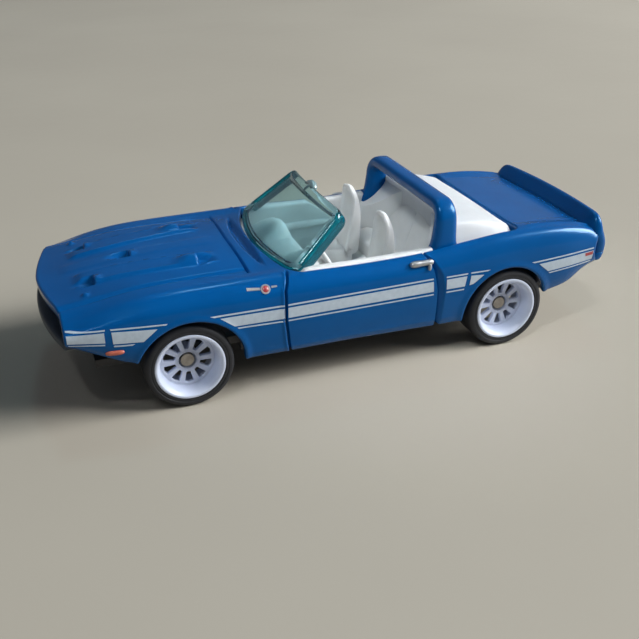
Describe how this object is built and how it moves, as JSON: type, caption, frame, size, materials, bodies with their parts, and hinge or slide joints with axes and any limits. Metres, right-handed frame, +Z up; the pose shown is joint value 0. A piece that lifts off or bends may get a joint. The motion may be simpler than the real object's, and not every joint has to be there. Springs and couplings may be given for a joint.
{
  "type": "diecast toy car",
  "caption": "Small diecast open-top car with roll bar, clear windscreen, white cabin moulding and free-rolling dished wheels in rubber tyres.",
  "frame": {"origin": "on the ground under the middle of the car, halfway between the axles", "axes": "+X towards the nose, +Y towards the car's left side, +Z up"},
  "size_m": [0.075, 0.0284, 0.0215],
  "materials": {
    "blue_enamel": "gloss blue enamel over zinc casting",
    "base_metal": "satin dark grey painted casting",
    "rivet_steel": "bare peened rivet",
    "grille_black": "satin black moulding with small painted lamps",
    "white_plastic": "satin white injection moulding",
    "teal_clear": "clear teal-tinted polystyrene",
    "axle_steel": "drawn wire with flattened heads",
    "wheel_white": "white moulded wheel",
    "tyre_rubber": "soft matt rubber"
  },
  "bodies": {
    "car_body": {"body_shell": "blue_enamel", "base_plate": "base_metal", "base_rivets": "rivet_steel", "front_grille": "grille_black", "tail_panel": "grille_black", "cabin_tub": "white_plastic", "dashboard": "white_plastic", "steering_wheel": "white_plastic", "driver_seat": "white_plastic", "passenger_seat": "white_plastic", "windscreen": "teal_clear"},
    "front_axle_wire": {"front_axle": "axle_steel"},
    "rear_axle_wire": {"rear_axle": "axle_steel"},
    "wheel_front_left": {"hub_front_left": "wheel_white", "tyre_front_left": "tyre_rubber"},
    "wheel_front_right": {"hub_front_right": "wheel_white", "tyre_front_right": "tyre_rubber"},
    "wheel_rear_left": {"hub_rear_left": "wheel_white", "tyre_rear_left": "tyre_rubber"},
    "wheel_rear_right": {"hub_rear_right": "wheel_white", "tyre_rear_right": "tyre_rubber"}
  },
  "joints": [
    {"name": "front_axle_turn", "type": "hinge", "parent": "car_body", "child": "front_axle_wire", "pos_m": [0.02145, 0, 0.00547], "axis": [0, 1, 0], "continuous": true},
    {"name": "rear_axle_turn", "type": "hinge", "parent": "car_body", "child": "rear_axle_wire", "pos_m": [-0.02145, 0, 0.00547], "axis": [0, 1, 0], "continuous": true},
    {"name": "front_left_roll", "type": "hinge", "parent": "front_axle_wire", "child": "wheel_front_left", "pos_m": [0.02145, 0.01395, 0.00547], "axis": [0, 1, 0], "continuous": true},
    {"name": "front_right_roll", "type": "hinge", "parent": "front_axle_wire", "child": "wheel_front_right", "pos_m": [0.02145, -0.01395, 0.00547], "axis": [0, 1, 0], "continuous": true},
    {"name": "rear_left_roll", "type": "hinge", "parent": "rear_axle_wire", "child": "wheel_rear_left", "pos_m": [-0.02145, 0.01395, 0.00547], "axis": [0, 1, 0], "continuous": true},
    {"name": "rear_right_roll", "type": "hinge", "parent": "rear_axle_wire", "child": "wheel_rear_right", "pos_m": [-0.02145, -0.01395, 0.00547], "axis": [0, 1, 0], "continuous": true}
  ]
}
